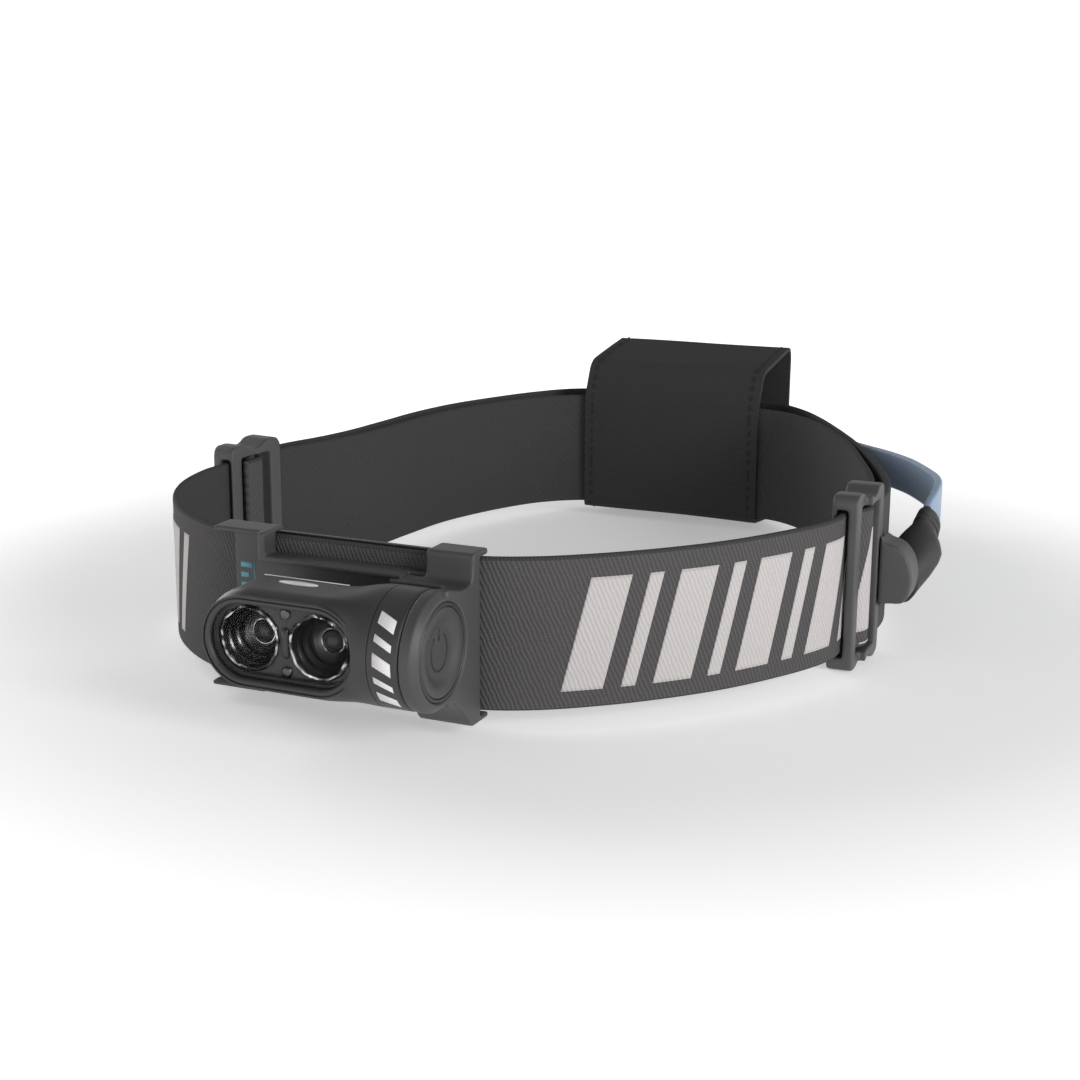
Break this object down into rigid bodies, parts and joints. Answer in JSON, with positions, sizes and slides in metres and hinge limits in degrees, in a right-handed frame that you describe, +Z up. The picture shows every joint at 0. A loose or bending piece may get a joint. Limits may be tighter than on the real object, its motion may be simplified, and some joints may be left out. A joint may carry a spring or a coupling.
{
  "type": "headlamp",
  "caption": "Headlamp with a tilting twin-lens lamp on a webbing headband, strap adjusters, a rear battery in a fabric sleeve and a flat connecting cable.",
  "frame": {"origin": "middle of the resting footprint, on the surface that the adjusters and the sleeve stand on (bottom centre of the bounding box, the cable and its boot left out)", "axes": "+Z up, -Y the way the lamp shines, +X towards the power button, which is on the wearer's left"},
  "size_m": [0.1857, 0.2654, 0.0546],
  "materials": {
    "grey_plastic": "fine satin texture",
    "black_plastic": "matte",
    "webbing": "woven twill with a pale printed band of shapes",
    "sleeve_fabric": "plain close weave",
    "black_rubber": "matte",
    "blue_cable": "satin",
    "clear_cover": "polished",
    "reflector_chrome": "polished",
    "steel": "zinc plated",
    "aluminium": "satin",
    "circuit_board": "solder mask",
    "led_phosphor": "smooth",
    "cell_foil": "satin foil"
  },
  "bodies": {
    "headband": {"bracket": "grey_plastic", "slider_left": "grey_plastic", "slider_right": "grey_plastic", "cable_outlet": "grey_plastic", "backing_plate": "black_plastic", "sleeve_closure": "black_plastic", "front_strap": "webbing", "rear_strap_inner": "webbing", "rear_strap_outer": "webbing", "sleeve": "sleeve_fabric", "band_lead": "black_rubber", "cable_boot": "black_rubber", "battery_plug": "black_rubber", "battery_cable": "blue_cable"},
    "lamp": {"front_housing": "grey_plastic", "rear_housing": "grey_plastic", "drum_housing": "grey_plastic", "lens_window": "clear_cover", "window_seal": "black_rubber", "bezel": "black_plastic", "reflector_left": "reflector_chrome", "reflector_right": "reflector_chrome", "led_left": "led_phosphor", "led_right": "led_phosphor", "led_board": "aluminium", "heat_sink": "aluminium", "control_board": "circuit_board", "power_switch": "black_plastic", "housing_seal": "black_rubber", "friction_ring": "black_rubber", "housing_screw_1": "steel", "housing_screw_2": "steel", "housing_screw_3": "steel", "housing_screw_4": "steel"},
    "button": {"power_button": "grey_plastic"},
    "battery": {"battery_case_inner": "black_plastic", "battery_case_outer": "black_plastic", "battery_cell": "cell_foil", "battery_board": "circuit_board", "battery_socket": "black_plastic", "battery_seal": "black_rubber"}
  },
  "joints": [
    {"name": "lamp_tilt", "type": "hinge", "parent": "headband", "child": "lamp", "pos_m": [0.01348, -0.11974, 0.0234], "axis": [1, 0, 0], "range_deg": [0, 60]},
    {"name": "button_press", "type": "slide", "parent": "lamp", "child": "button", "axis": [-1, 0, 0], "range_m": [0, 0.0008], "stiffness_N_per_m": 400, "springref_m": -0.0008},
    {"name": "battery_slide", "type": "slide", "parent": "headband", "child": "battery", "axis": [-1, 0, 0], "range_m": [0, 0.085]}
  ]
}
